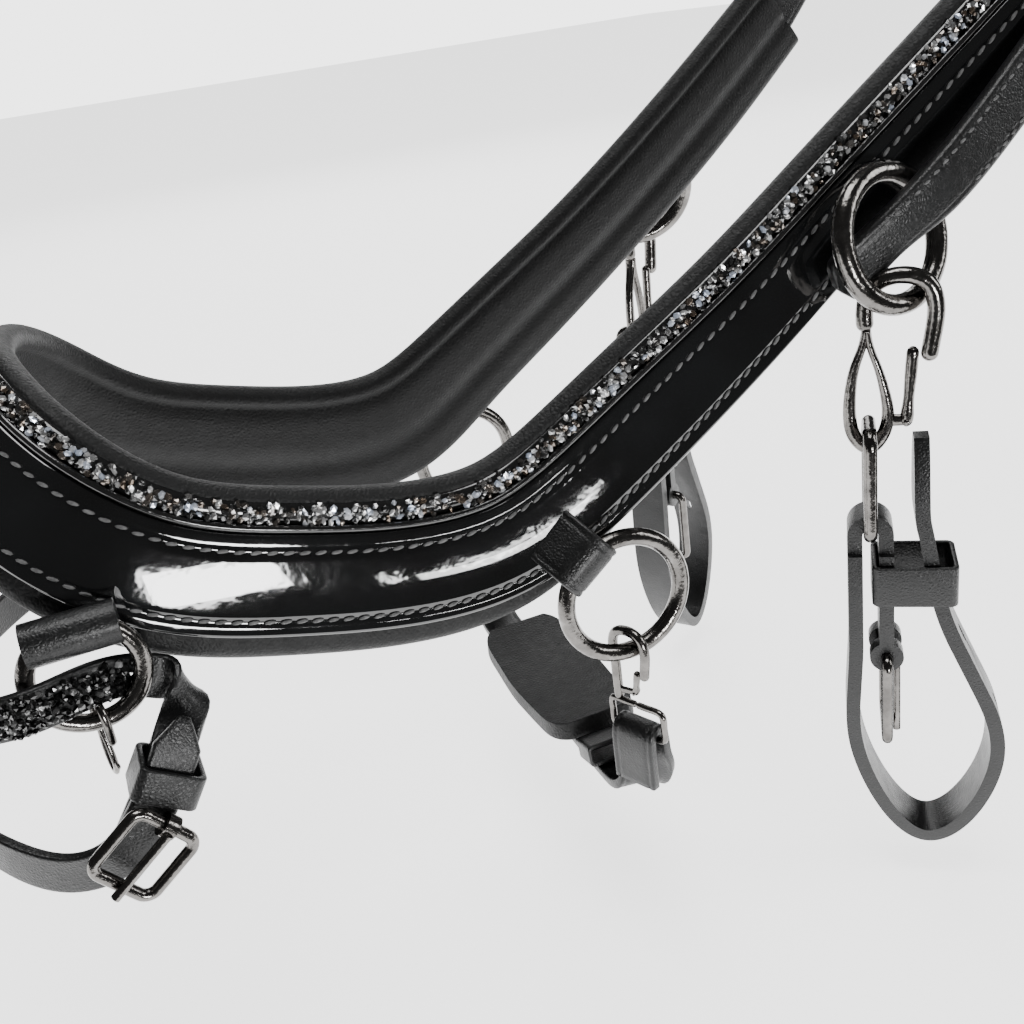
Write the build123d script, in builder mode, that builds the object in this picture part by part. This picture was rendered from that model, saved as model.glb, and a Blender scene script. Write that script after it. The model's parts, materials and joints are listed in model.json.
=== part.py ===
"""Snaffle bridle: padded patent noseband with rings, snap hooks, straps, crown and browband.

Millimetres, +Z up. The nose points to -X, the horse's near side is -Y.
The origin is the poll seat, the middle of the crown's underside.
"""
import os
from math import cos, radians, sin

from build123d import *

os.makedirs("parts", exist_ok=True)

# ---- driving dimensions ----
poll = Vector(300, 0, 320)          # the poll seat, measured from the middle of the chin rings
up = Vector(0, 0, 1)

panel_thick = 2.2                   # patent leather panel
piping_radius = 0.9
crystal_width = 4.6                 # crystal strip beside the panel
crystal_tall = 2.8
lining_thick = 7.0                  # padded lining behind the panel
upper_roll = 9.5                    # how far the lining stands above the panel
lower_roll = 5.6                    # how far it stands below, at the nose
lining_gap = 0.3

strap_width = 13.0                  # cheekpieces and crown billets
strap_thick = 4.0
bit_strap_width = 12.5
bit_strap_thick = 3.6
thin_strap = 3.0

cheek_ring_radius = 15.0            # to the middle of the wire
cheek_ring_wire = 2.5               # wire radius
chin_ring_radius = 15.0
chin_ring_wire = 2.1
flash_ring_radius = 11.0
flash_ring_wire = 1.9

hook_wire = 2.0                     # snap hook, the part that carries the ring
eye_wire = 1.7
gate_wire = 1.5
gate_pin = 0.8
pin_clearance = 0.06
link_wire = 1.65


def at(x, y, z):
    """A point given from the middle of the chin rings."""
    return Vector(x, y, z) - poll


def flip(v):
    """The same point on the far side."""
    return Vector(v.X, -v.Y, v.Z)


def save(name, piece):
    """Write one finished piece."""
    piece.part.label = name
    export_step(piece.part, f"parts/{name}.step")


def save_pair(name, near):
    """Write the near piece and its mirror image on the far side."""
    save(f"{name}_near", near)
    with BuildPart() as far:
        mirror(near.part, about=Plane.XZ)
    save(f"{name}_far", far)


def section_planes(points, across):
    """A plane square to the route at each of its points, its x direction across the strap."""
    planes = []
    last = len(points) - 1
    for i, point in enumerate(points):
        along = (points[min(i + 1, last)] - points[max(i - 1, 0)]).normalized()
        side = across[i] - along * across[i].dot(along)
        planes.append(Plane(origin=point, x_dir=side, z_dir=along))
    return planes


def ribbon(points, across, widths, thick, pitch=9.0, lift=0.0, first=0.0, last=1.0,
           ruled=False):
    """A flat strap through the points; across and widths give its direction and width at each.

    lift moves it off the route, square to its face; first and last keep a part of the route.
    """
    route = Edge.make_spline(points)
    shares = [route.param_at_point(point) for point in points]
    count = max(3, int(route.length * (last - first) / pitch))
    with BuildPart() as strap:
        for step in range(count + 1):
            t = first + (last - first) * step / count
            i = max(k for k in range(len(shares)) if shares[k] <= t + 1e-9)
            i = min(i, len(points) - 2)
            place = (t - shares[i]) / (shares[i + 1] - shares[i])
            along = route % t
            side = across[i] * (1 - place) + across[i + 1] * place
            side = side - along * side.dot(along)
            width = widths[i] + (widths[i + 1] - widths[i]) * place
            with BuildSketch(Plane(origin=route @ t, x_dir=side, z_dir=along)):
                with Locations((0, lift)):
                    Rectangle(width, thick)
        loft(ruled=ruled)
    return strap


def ring(plane, radius, wire):
    """A round wire ring that lies in the plane."""
    with BuildPart() as hoop:
        with Locations(plane):
            Torus(radius, wire)
    return hoop


def round_section(path, wire):
    """The round section of a wire at the start of its path."""
    with BuildSketch(Plane(origin=path @ 0, z_dir=path % 0)) as section:
        Circle(wire)
    return section.sketch


# ---- noseband ----
# centre of the panel, direction up its face, half its width: from the nose to the near end
near_band = [
    (at(-134, 0, 67), Vector(0.75, 0, 0.66), 11.4),
    (at(-130.5, -23, 63.5), Vector(0.68, 0.12, 0.72), 11.4),
    (at(-119, -42.5, 50.5), Vector(0.48, 0.20, 0.85), 11.4),
    (at(-99, -49.5, 34), Vector(0.34, 0.17, 0.93), 11.4),
    (at(-73, -50.5, 23.8), Vector(0.24, 0.14, 0.96), 11.4),
    (at(-48, -50.5, 17.6), Vector(0.18, 0.13, 0.97), 11.4),
    (at(-22, -50.5, 17.6), Vector(-0.12, 0.13, 0.98), 11.4),
    (at(1, -50.5, 28.2), Vector(-0.45, 0.13, 0.87), 11.2),
    (at(22, -50.5, 41), Vector(-0.55, 0.13, 0.82), 10.8),
    (at(45, -50.5, 55.7), Vector(-0.56, 0.13, 0.82), 10.0),
    (at(71, -50.5, 74), Vector(-0.57, 0.13, 0.81), 9.4),
    (at(98, -52, 94), Vector(-0.58, 0.13, 0.80), 8.9),
    (at(122, -54, 113), Vector(-0.62, 0.12, 0.77), 8.0),
]
far_band = [(flip(centre), flip(lift), half) for centre, lift, half in near_band[:0:-1]]
band = far_band + near_band
band_planes = section_planes([row[0] for row in band], [row[1] for row in band])
band_halves = [row[2] for row in band]
nose = len(far_band)                # the station at the middle of the nose

# share of the lower roll that shows below the panel at each near station
near_roll = [1.0, 1.0, 1.0, 1.0, 1.0, 1.0, 0.8, 0.25, 0.1, 0.1, 0.1, 0.1, 0.1]
roll_share = near_roll[:0:-1] + near_roll


def band_strip(low, high, inner, outer, first=0, last=len(band) - 1):
    """A strip along the band; low and high give its edges for a station's half width and roll."""
    with BuildPart() as strip:
        for i in range(first, last + 1):
            bottom = low(band_halves[i], roll_share[i])
            top = high(band_halves[i], roll_share[i])
            with BuildSketch(band_planes[i]):
                with Locations(((bottom + top) / 2, (inner + outer) / 2)):
                    Rectangle(top - bottom, outer - inner)
        loft()
    return strip


noseband_shell = band_strip(lambda h, r: -h, lambda h, r: h, 0, panel_thick)
save("noseband_shell", noseband_shell)

noseband_lining = band_strip(
    lambda h, r: -h - lower_roll * r, lambda h, r: h + upper_roll, -lining_thick, -lining_gap
)
save("noseband_lining", noseband_lining)

noseband_piping = band_strip(
    lambda h, r: h + 0.2, lambda h, r: h + 2 * piping_radius, 0.3, 0.3 + 2 * piping_radius
)
save("noseband_piping", noseband_piping)

strip_base = 2 * piping_radius + 0.1
noseband_crystals = band_strip(
    lambda h, r: h + strip_base, lambda h, r: h + strip_base + crystal_width, 0.1, crystal_tall
)
save("noseband_crystals", noseband_crystals)

front_crystals = band_strip(
    lambda h, r: -h - 4.4, lambda h, r: -h - 0.5, 0.1, crystal_tall, nose - 2, nose + 2
)
save("front_crystals", front_crystals)

# ---- cheek rings and cheekpieces ----
ring_yaw = radians(11)              # the ring's front edge stands away from the band
ring_lean = radians(15)             # its top leans in towards the band
ring_along = Vector(cos(ring_yaw), sin(ring_yaw), 0)
ring_inward = Vector(-sin(ring_yaw), cos(ring_yaw), 0)
ring_up = up * cos(ring_lean) + ring_inward * sin(ring_lean)
cheek_centre = at(73.6, -61, 69.4)
cheek_plane = Plane(origin=cheek_centre, x_dir=ring_along, z_dir=ring_along.cross(ring_up))
ring_foot = cheek_centre - ring_up * cheek_ring_radius
save_pair("cheek_ring", ring(cheek_plane, cheek_ring_radius, cheek_ring_wire))

cheek_route = [
    at(63.5, -57.6, 61.3),
    at(68.5, -59.2, 65.3),
    at(74, -60.8, 69.5),
    at(85, -62.6, 78),
    at(100, -62.0, 89.5),
    at(113, -61.0, 100.5),
    at(126, -61.4, 113),
    at(147, -64.5, 136),
    at(171, -69.0, 164),
]
cheek_out = Vector(0, -1, 0.05)
cheek_across = []
for i, point in enumerate(cheek_route):
    along = cheek_route[min(i + 1, len(cheek_route) - 1)] - cheek_route[max(i - 1, 0)]
    cheek_across.append(along.cross(cheek_out).normalized())
cheek_widths = [strap_width] * len(cheek_route)
cheek_widths[0] = strap_width - 2.5
cheek_ribbon = ribbon(cheek_route, cheek_across, cheek_widths, strap_thick)
hook_room = 11.2                    # the strap's edge is hollowed to let the snap hook swing
with BuildPart() as cheek_strap:
    add(cheek_ribbon.part)
    with Locations(ring_foot):
        Sphere(hook_room, mode=Mode.SUBTRACT)
save_pair("cheek_strap", cheek_strap)

# the crown's billet lies outside the cheekpiece and points down it
billet_step = 5.2                   # from the middle of the cheekpiece to the middle of the billet
crown_arc = [
    at(216, -78, 218),
    at(233, -80.5, 240),
    at(262, -74, 279),
    at(284, -56, 308),
    at(296, -31, 324.5),
    at(300, 0, 330),
]
billet_tip = cheek_route[-3] * 0.35 + cheek_route[-2] * 0.65
billet_route = [
    billet_tip + Vector(0, -billet_step, 0),
    cheek_route[-2] * 0.35 + cheek_route[-1] * 0.65 + Vector(0, -billet_step, 0),
    at(192, -77.0, 189),
]
crown_near = billet_route + crown_arc
crown_route = crown_near + [flip(point) for point in crown_near[-2::-1]]
crown_across = []
for i, point in enumerate(crown_route):
    along = crown_route[min(i + 1, len(crown_route) - 1)] - crown_route[max(i - 1, 0)]
    rise = max(0, (point.Z + 90) / 60)
    outward = Vector(-0.35, point.Y / 55, rise) if rise else Vector(0, point.Y, 0)
    crown_across.append(along.cross(outward).normalized())
near_crown_widths = [8.0, strap_width, strap_width, 16, 24, 30, 34, 36, 36]
crown_widths = near_crown_widths + near_crown_widths[-2::-1]
crown_strap = ribbon(crown_route, crown_across, crown_widths, strap_thick)
save("crown_strap", crown_strap)

# padding under the crown, from above one browband loop to above the other
pad_near = [
    at(246, -74.5, 250),
    at(262, -68.3, 274.3),
    at(281, -52, 301.8),
    at(294, -29, 317.8),
    at(299, 0, 323.0),
]
pad_route = pad_near + [flip(point) for point in pad_near[-2::-1]]
pad_across = []
for i, point in enumerate(pad_route):
    along = pad_route[min(i + 1, len(pad_route) - 1)] - pad_route[max(i - 1, 0)]
    outward = Vector(-0.35, point.Y / 55, (point.Z + 90) / 60)
    pad_across.append(along.cross(outward).normalized())
near_pad_widths = [26, 34, 40, 42, 42]
pad_widths = near_pad_widths + near_pad_widths[-2::-1]
crown_padding = ribbon(pad_route, pad_across, pad_widths, 6.0)
save("crown_padding", crown_padding)

# ---- snap hooks ----


def local(plane, x, y, z=0):
    """A point given in the plane's own directions."""
    return plane.origin + plane.x_dir * x + plane.y_dir * y + plane.z_dir * z


# outline of the long cast eye, and of the opening in it
teardrop_outer = [(-8.4, -1.8), (-12.2, -14), (-14.0, -28), (-8.0, -37.0), (-2.1, -28.5), (-5.2, -14)]
teardrop_inner = [(-8.5, -9.0), (-9.9, -15), (-10.7, -28), (-8.0, -33.6), (-5.2, -28.5), (-7.1, -15)]


def hook_body(plane, size, eye, hinge, lug_root):
    """The hook's crook, its eye and the lug that carries the gate."""
    with BuildPart() as body:
        stem_end = -6.0 if eye == "teardrop" else -27.0
        with BuildLine(plane) as crook:
            Spline(
                (5.7 * size, -11.5 * size),
                (6.8 * size, -1.3 * size),
                (4.8 * size, 4.5 * size),
                (-1.0 * size, 6.6 * size),
                (-6.8 * size, 4.5 * size),
                (-8.8 * size, -1.3 * size),
                (-8.6 * size, stem_end * size),
            )
        crook_path = crook.wires()[0]
        sweep(round_section(crook_path, hook_wire * size), path=crook_path)
        if eye == "teardrop":
            with BuildSketch(plane):
                with BuildLine():
                    Spline(*[Vector(x, y) * size for x, y in teardrop_outer], periodic=True)
                make_face()
                with BuildLine():
                    Spline(*[Vector(x, y) * size for x, y in teardrop_inner], periodic=True)
                make_face(mode=Mode.SUBTRACT)
            extrude(amount=eye_wire * size, both=True)
        else:
            with BuildLine(plane) as loop:
                FilletPolyline(
                    (12.8 * size, -27.5 * size),
                    (12.8 * size, -41.0 * size),
                    (-12.8 * size, -41.0 * size),
                    (-12.8 * size, -27.5 * size),
                    radius=2.0 * size,
                    close=True,
                )
            loop_path = loop.wires()[0]
            sweep(round_section(loop_path, eye_wire * size), path=loop_path)
        lug_half = 0.8 * size
        reach = Vector(hinge[0] - lug_root[0], hinge[1] - lug_root[1], 0)
        lug_plane = Plane(
            origin=local(plane, (hinge[0] + lug_root[0]) / 2 * size, (hinge[1] + lug_root[1]) / 2 * size),
            x_dir=plane.x_dir * reach.X + plane.y_dir * reach.Y,
            z_dir=plane.z_dir,
        )
        with BuildSketch(lug_plane):
            SlotCenterToCenter(reach.length * size, 3.8 * size)
        extrude(amount=lug_half, both=True)
        hinge_point = local(plane, hinge[0] * size, hinge[1] * size)
        with BuildSketch(Plane(origin=hinge_point, z_dir=plane.z_dir)):
            Circle(gate_pin * size + pin_clearance)
        extrude(amount=lug_half, both=True, mode=Mode.SUBTRACT)
    return body


def hook_gate(plane, size, hinge, top):
    """The sprung gate: a forked rod with its own pin through the lug."""
    rise = Vector(top[0] - hinge[0], top[1] - hinge[1], 0)
    along = (plane.x_dir * rise.X + plane.y_dir * rise.Y).normalized()
    foot = local(plane, hinge[0] * size, hinge[1] * size)
    gate_plane = Plane(origin=foot, x_dir=along, z_dir=plane.z_dir)
    with BuildPart() as gate:
        with BuildSketch(Plane(origin=foot + along * 3.4 * size, z_dir=along)):
            Circle(gate_wire * size)
        extrude(amount=rise.length * size - 3.4 * size)
        for side in (-1, 1):
            cheek = Plane(
                origin=foot + along * 2.4 * size + plane.z_dir * side * 1.25 * size,
                x_dir=along,
                z_dir=plane.z_dir,
            )
            with BuildSketch(cheek):
                SlotCenterToCenter(4.8 * size, 2.8 * size)
            extrude(amount=0.35 * size, both=True)
        with BuildSketch(gate_plane):
            Circle(gate_pin * size)
        extrude(amount=1.6 * size, both=True)
    return gate


hang_turn = radians(-36)            # the hooks and bit straps hang turned towards the nose
hang_across = Vector(cos(hang_turn), sin(hang_turn), 0)
hang_plane = Plane(origin=ring_foot, x_dir=hang_across, z_dir=hang_across.cross(up))
strap_wide = hang_plane.z_dir

bit_hinge = (0.6, -28.6)
bit_lug_root = (-3.4, -28.5)
bit_gate_top = (1.9, -11.4)
save_pair("bit_hook", hook_body(hang_plane, 1.0, "teardrop", bit_hinge, bit_lug_root))
save_pair("bit_gate", hook_gate(hang_plane, 1.0, bit_hinge, bit_gate_top))

# ---- links and bit straps ----
link_x = -8.0                       # the link hangs in the middle of the hook's eye
link_top = -30.3
link_foot = -57.5
link_half = 6.8
link_plane = Plane(origin=local(hang_plane, link_x, 0), x_dir=strap_wide, z_dir=strap_wide.cross(up))
link_corners = [
    local(link_plane, -link_half, link_top),
    local(link_plane, link_half, link_top),
    local(link_plane, link_half, link_foot),
    local(link_plane, -link_half, link_foot),
]
with BuildPart() as bit_link:
    with BuildLine() as loop:
        FilletPolyline(*link_corners, radius=3.0, close=True)
    link_path = loop.wires()[0]
    sweep(round_section(link_path, link_wire), path=link_path)
save_pair("bit_link", bit_link)

fold_radius = link_wire + 0.3 + bit_strap_thick / 2
buckle_bar = -92.0
bar_wire = 1.4
inner_x = link_x + fold_radius      # the short layer that carries the buckle
outer_x = link_x - fold_radius      # the long layer that makes the loop
bit_tip = -32.5
with BuildPart() as bit_strap:
    with BuildSketch(hang_plane):
        with BuildLine():
            Line((inner_x, buckle_bar + 3.0), (inner_x, link_foot))
            CenterArc((link_x, link_foot), fold_radius, 0, 180)
            Line((outer_x, link_foot), (outer_x, -85))
            Spline(
                (outer_x, -85),
                (-10.6, -126),
                (6.5, -150.3),
                (23.2, -124),
                (19.0, -103),
                (12.5, -88),
                (8.0, -74),
                (5.2, -58),
                (3.9, bit_tip),
                tangents=((0, -1), (0, 1)),
            )
        trace(line_width=bit_strap_thick)
    extrude(amount=bit_strap_width / 2, both=True)
    # the fold is necked to pass between the link's sides
    for side in (-1, 1):
        neck = local(hang_plane, link_x, link_foot + 1.0, side * (4.6 + 3.0))
        with BuildSketch(Plane(origin=neck, x_dir=hang_across, z_dir=strap_wide)):
            Rectangle(14.0, 12.0)
        extrude(amount=3.0, both=True, mode=Mode.SUBTRACT)
    # the tip is cut to a point
    tip_face = Plane(origin=local(hang_plane, 3.9, bit_tip), x_dir=strap_wide, z_dir=hang_across)
    tip_up = 1 if tip_face.y_dir.Z > 0 else -1
    with BuildSketch(tip_face):
        for side in (-1, 1):
            with BuildLine():
                Polyline(
                    (side * 2.0, tip_up * 0.5),
                    (side * 8.0, tip_up * 0.5),
                    (side * 8.0, tip_up * -15.0),
                    (side * 6.3, tip_up * -15.0),
                    (side * 4.9, tip_up * -6.0),
                    close=True,
                )
            make_face()
    extrude(amount=4.0, both=True, mode=Mode.SUBTRACT)
    # punched holes
    for hole_x, hole_y in ((12.0, -86.9), (20.4, -107.7)):
        run = (hang_across * 6.5 + up * 15.0).normalized()
        out = strap_wide.cross(run)
        with BuildSketch(Plane(origin=local(hang_plane, hole_x, hole_y), x_dir=run, z_dir=out)):
            SlotOverall(3.6, 2.6)
        extrude(amount=4.5, both=True, mode=Mode.SUBTRACT)
    # the short layer's end closes round the buckle's bar
    for side in (-1, 1):
        cuff = Plane(origin=local(hang_plane, inner_x, buckle_bar, side * 4.3), z_dir=strap_wide)
        with BuildSketch(cuff):
            Circle(bar_wire + 2.8)
        extrude(amount=1.9, both=True)
        with BuildSketch(cuff):
            Circle(bar_wire + 0.1)
        extrude(amount=2.0, both=True, mode=Mode.SUBTRACT)
save_pair("bit_strap", bit_strap)

keeper_wall = 1.3
with BuildPart() as bit_keeper:
    keeper_left = inner_x - bit_strap_thick / 2 - 0.4
    keeper_right = 11.4
    keeper_half = bit_strap_width / 2 + 0.4
    keeper_mid = (keeper_left + keeper_right) / 2
    keeper_span = keeper_right - keeper_left
    keeper_plane = Plane(origin=local(hang_plane, keeper_mid, -76), x_dir=hang_across, z_dir=up)
    with BuildSketch(keeper_plane):
        RectangleRounded(keeper_span + 2 * keeper_wall, 2 * keeper_half + 2 * keeper_wall, 2.0)
        RectangleRounded(keeper_span, 2 * keeper_half, 0.9, mode=Mode.SUBTRACT)
    extrude(amount=11.0)
save_pair("bit_keeper", bit_keeper)


def buckle_frame(plane, half_width, low, high, wire):
    """A rounded rectangular frame in the plane, from low to high."""
    corners = [
        local(plane, -half_width, high),
        local(plane, half_width, high),
        local(plane, half_width, low),
        local(plane, -half_width, low),
    ]
    with BuildPart() as frame:
        with BuildLine() as outline:
            FilletPolyline(*corners, radius=2.4, close=True)
        frame_path = outline.wires()[0]
        sweep(round_section(frame_path, wire), path=frame_path)
    return frame


def buckle_tongue(plane, bar, reach, wire, bar_radius):
    """A tongue that turns on the bar and lies on the far rail's outer side."""
    lift = bar_radius + 0.12 + wire
    with BuildPart() as tongue:
        root = local(plane, 0, bar, 0)
        with BuildSketch(Plane(origin=root, z_dir=plane.x_dir)):
            Circle(bar_radius + 0.1 + 1.1)
        extrude(amount=1.4, both=True)
        step = 1 if reach > bar else -1
        start = local(plane, 0, bar + step * 0.4, lift)
        end = local(plane, 0, reach, lift + 0.1)
        with BuildSketch(Plane(origin=start, z_dir=end - start)):
            Circle(wire)
        extrude(amount=(end - start).length)
        with BuildSketch(Plane(origin=root, z_dir=plane.x_dir)):
            Circle(bar_radius + 0.1)
        extrude(amount=3.0, both=True, mode=Mode.SUBTRACT)
    return tongue


bit_buckle_plane = Plane(origin=local(hang_plane, inner_x, 0), x_dir=strap_wide * -1, z_dir=hang_across)
save_pair("bit_buckle", buckle_frame(bit_buckle_plane, 9.2, -116.5, buckle_bar, bar_wire))
save_pair("bit_tongue", buckle_tongue(bit_buckle_plane, buckle_bar, -118.5, 1.1, bar_wire))

# ---- chin rings, tabs, hooks and strap ----
chin_centre = at(0, -57.2, -0.5)
chin_plane = Plane(origin=chin_centre, x_dir=(1, 0, 0), z_dir=(0, -1, 0))
save_pair("chin_ring", ring(chin_plane, chin_ring_radius, chin_ring_wire))

with BuildPart() as chin_tab:
    # folded round the ring's upper front quarter, its tail goes under the band and up its back
    tab_width = 14.0
    tab_turn = radians(128)
    tab_out = Vector(cos(tab_turn), 0, sin(tab_turn))
    tab_face = Plane(origin=chin_centre, x_dir=tab_out, z_dir=(0, -1, 0))
    with BuildSketch(tab_face):
        with Locations((chin_ring_radius - 2.4, 0)):
            RectangleRounded(12.0, tab_width, 2.0)
    extrude(amount=3.4, both=True)
    with BuildSketch(tab_face):
        with Locations((chin_ring_radius - 6.8, 0)):
            Rectangle(3.0, tab_width)
    extrude(amount=-16.5)
    tab_back = chin_centre + Vector(0, 14.2, 0)
    with BuildSketch(Plane(origin=tab_back, x_dir=tab_out, z_dir=(0, -1, 0))):
        with Locations((chin_ring_radius + 0.4, 0)):
            Rectangle(17.4, tab_width)
    extrude(amount=-2.3)
    with Locations(chin_plane):
        Torus(chin_ring_radius, chin_ring_wire + 0.3, mode=Mode.SUBTRACT)
save_pair("chin_tab", chin_tab)

chin_size = 0.62
chin_turn = radians(-65)
chin_across = Vector(cos(chin_turn), sin(chin_turn), 0)
chin_hook_plane = Plane(
    origin=chin_centre - up * (chin_ring_radius - 0.9), x_dir=chin_across, z_dir=chin_across.cross(up)
)
slot_hinge = (0.4, -21.4)
slot_lug_root = (-8.0, -22.6)
slot_gate_top = (2.0, -11.8)
save_pair("chin_hook", hook_body(chin_hook_plane, chin_size, "slot", slot_hinge, slot_lug_root))
save_pair("chin_gate", hook_gate(chin_hook_plane, chin_size, slot_hinge, slot_gate_top))

chin_fold = chin_hook_plane.origin + up * (-41.0 * chin_size)
with BuildPart() as chin_loop:
    # sleeve of the chin strap's end round the hook's lower rail
    with BuildSketch(Plane(origin=chin_fold, z_dir=chin_across)):
        Circle(eye_wire * chin_size + 0.25 + 2.2)
    extrude(amount=5.6, both=True)
    with BuildSketch(Plane(origin=chin_fold, z_dir=chin_across)):
        Circle(eye_wire * chin_size + 0.25)
    extrude(amount=6.0, both=True, mode=Mode.SUBTRACT)
chin_near = [
    chin_fold + Vector(0, 0.4, -2.6),
    chin_fold + Vector(1.0, 3.0, -8.5),
    at(0, -45, -53.5),
    at(0, -25, -58.5),
    at(0, 0, -60),
]
chin_route = chin_near + [flip(point) for point in chin_near[-2::-1]]
near_chin_across = [chin_across * 0.9 + Vector(0.4, 0, 0), Vector(0.8, -0.4, 0)]
near_chin_across += [Vector(1, 0, 0)] * 3
chin_across_dirs = near_chin_across + [flip(v) for v in near_chin_across[-2::-1]]
near_chin_widths = [11.2, 12.5, 14, 14, 14]
chin_widths = near_chin_widths + near_chin_widths[-2::-1]
chin_strap_run = ribbon(chin_route, chin_across_dirs, chin_widths, thin_strap)
with BuildPart() as chin_strap:
    add(chin_strap_run.part)
    add(chin_loop.part)
    mirror(chin_loop.part, about=Plane.XZ)
save("chin_strap", chin_strap)

chin_pad_near = [at(0, -30.5, -52.9), at(0, -25, -54.1), at(0, 0, -55.6)]
chin_pad_route = chin_pad_near + [flip(point) for point in chin_pad_near[-2::-1]]
chin_pad = ribbon(chin_pad_route, [Vector(1, 0, 0)] * 5, [18, 26, 28, 26, 18], 5.0)
save("chin_pad", chin_pad)

with BuildPart() as chin_keeper:
    keeper_point = at(0, -38, -55.6)
    keeper_along = Vector(0, 20, -5).normalized()
    with BuildSketch(Plane(origin=keeper_point, x_dir=(1, 0, 0), z_dir=keeper_along)):
        RectangleRounded(14.8 + 2.4, thin_strap + 0.8 + 2.4, 1.4)
        RectangleRounded(14.8, thin_strap + 0.8, 0.6, mode=Mode.SUBTRACT)
    extrude(amount=4.0, both=True)
save("chin_keeper", chin_keeper)

# ---- flash rings, rolls, hooks and strap ----
flash_centre = at(-117.5, -57.5, 21.5)
flash_plane = Plane(origin=flash_centre, x_dir=(1, 0, 0), z_dir=(0, -1, 0))
save_pair("flash_ring", ring(flash_plane, flash_ring_radius, flash_ring_wire))

with BuildPart() as flash_tab:
    # leather roll along the top of the ring, with a tail sewn behind the band
    roll_origin = at(-126.5, -56.9, 30.6)
    with BuildSketch(Plane(origin=roll_origin, z_dir=(1, 0, 0))):
        Circle(4.6)
    extrude(amount=18.0)
    tail_root = at(-117.5, -54.5, 27.6)
    tail_run = Vector(2.0, 9.5, -1.5)
    with BuildSketch(Plane(origin=tail_root, x_dir=(1, 0, 0), z_dir=tail_run)):
        Rectangle(13.0, 2.6)
    extrude(amount=12.0)
    with Locations(flash_plane):
        Torus(flash_ring_radius, flash_ring_wire + 0.3, mode=Mode.SUBTRACT)
save_pair("flash_tab", flash_tab)

flash_size = 0.45
flash_turn = radians(-72)
flash_across = Vector(cos(flash_turn), sin(flash_turn), 0)
flash_hook_plane = Plane(
    origin=flash_centre - up * (flash_ring_radius - 1.3), x_dir=flash_across, z_dir=flash_across.cross(up)
)
save_pair("flash_hook", hook_body(flash_hook_plane, flash_size, "teardrop", bit_hinge, bit_lug_root))

# the strap crosses in front of the nose twice: the crystal run above, the plain run below
flash_near = [
    (at(-118.5, -64.4, -7.5), Vector(-0.9, 0, 0.43)),
    (at(-114.6, -64.2, -0.5), Vector(-0.9, 0, 0.43)),
    (at(-108.0, -63.2, 5.0), Vector(-0.8, 0, 0.6)),
    (at(-102.0, -61.6, 9.6), Vector(-0.45, 0, 0.9)),
    (at(-99.5, -58.0, 9.0), Vector(-0.1, 0, 1)),
    (at(-103.0, -53.8, 10.2), Vector(0, 0, 1)),
    (at(-109.0, -52.8, 14.6), Vector(0, 0, 1)),
    (at(-117, -57.3, 19.8), Vector(0, 0, 1)),
    (at(-127, -61.7, 19.8), Vector(0, 0, 1)),
    (at(-138, -59.5, 18.5), Vector(0, 0, 1)),
    (at(-151, -36, 16.5), Vector(0, 0, 1)),
    (at(-156, 0, 15.5), Vector(0, 0, 1)),
]
flash_far_front = [(flip(point), flip(across)) for point, across in flash_near[-2:3:-1]]
flash_far_return = [
    (at(-103.0, 61.8, 8.0), Vector(0, 0, 1)),
    (at(-116, 65.0, 2.0), Vector(0, 0, 1)),
    (at(-134, 63.0, -5.0), Vector(0, 0, 1)),
    (at(-152, 44, -8.5), Vector(0, 0, 1)),
    (at(-162, 0, -9.5), Vector(0, 0, 1)),
    (at(-154, -40, -9.5), Vector(0, 0, 1)),
    (at(-143, -60, -10.5), Vector(0, 0, 1)),
    (at(-131, -68.4, -13.0), Vector(-0.1, 0, 1)),
    (at(-121, -71.4, -13.0), Vector(-0.35, 0, 0.94)),
    (at(-112, -71.6, -7.5), Vector(-0.7, 0, 0.7)),
    (at(-105.5, -70.6, 1.5), Vector(-0.85, 0, 0.5)),
    (at(-100.5, -68.6, 11.0), Vector(-0.9, 0, 0.4)),
]
flash_stations = flash_near + flash_far_front + flash_far_return
flash_points = [point for point, across in flash_stations]
flash_sides = [across for point, across in flash_stations]
flash_widths = [9.4] * len(flash_stations)
flash_widths[-1] = 5.0
flash_thick = 2.4
flash_strap = ribbon(flash_points, flash_sides, flash_widths, flash_thick, pitch=4.0, ruled=True)
save("flash_strap", flash_strap)

# crystals on the upper run, from the front of one ring to the front of the other
sparkle_thick = 1.6
sparkle_lift = -(flash_thick + sparkle_thick) / 2 - 0.2
flash_route = Edge.make_spline(flash_points)
sparkle_from = flash_route.param_at_point(flash_points[9]) - 0.006
sparkle_to = flash_route.param_at_point(flash_points[13]) + 0.006
flash_crystals = ribbon(
    flash_points, flash_sides, [7.6] * len(flash_points), sparkle_thick,
    pitch=4.0, lift=sparkle_lift, first=sparkle_from, last=sparkle_to, ruled=True,
)
save("flash_crystals", flash_crystals)


def fasten(place, along, outward, width, depth):
    """A buckle, its tongue and a keeper on a strap; place is on its outer face."""
    rail = 1.3
    proud = 2.7
    outward = (outward - along * outward.dot(along)).normalized()
    face = Plane(origin=place + outward * proud, x_dir=along.cross(outward), z_dir=outward)
    frame = buckle_frame(face, width / 2 + 2.4, -7.0, 8.0, rail)
    tongue = buckle_tongue(face, -7.0, 9.5, 1.0, rail)
    wall = 1.3
    middle = place - along * 16.0 - outward * depth / 2
    with BuildPart() as keeper:
        with BuildSketch(Plane(origin=middle, x_dir=face.x_dir, z_dir=along)):
            RectangleRounded(width + 0.8 + 2 * wall, depth + 0.8 + 2 * wall, 1.6)
            RectangleRounded(width + 0.8, depth + 0.8, 0.6, mode=Mode.SUBTRACT)
        extrude(amount=4.0, both=True)
    return frame, tongue, keeper


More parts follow.
